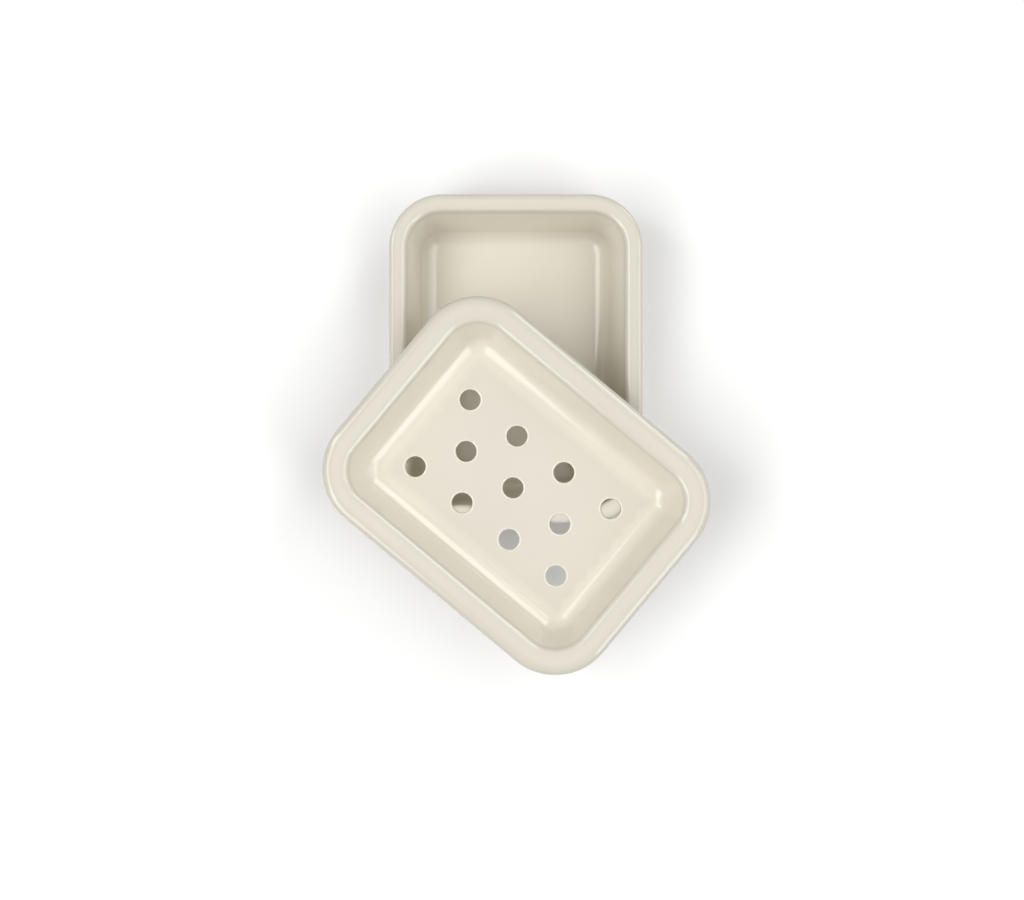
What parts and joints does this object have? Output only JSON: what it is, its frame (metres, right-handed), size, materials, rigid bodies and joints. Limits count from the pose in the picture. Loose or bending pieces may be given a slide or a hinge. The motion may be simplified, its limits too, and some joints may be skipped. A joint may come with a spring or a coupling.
{
  "type": "soap dish",
  "caption": "Rounded rectangular enamelled steel soap dish with a perforated drainer tray lying askew across its rim.",
  "frame": {"origin": "centre of the lower dish's flat foot, on the surface it stands on", "axes": "+Z up, +Y along the lower dish's length away from the drainer, +X to its right seen from above with +Y up"},
  "size_m": [0.1568, 0.1968, 0.0491],
  "materials": {
    "cream_enamel": "gloss vitreous enamel, cream, fired on pressed steel"
  },
  "bodies": {
    "root": {"lower_dish": "cream_enamel", "drainer": "cream_enamel"}
  },
  "joints": []
}
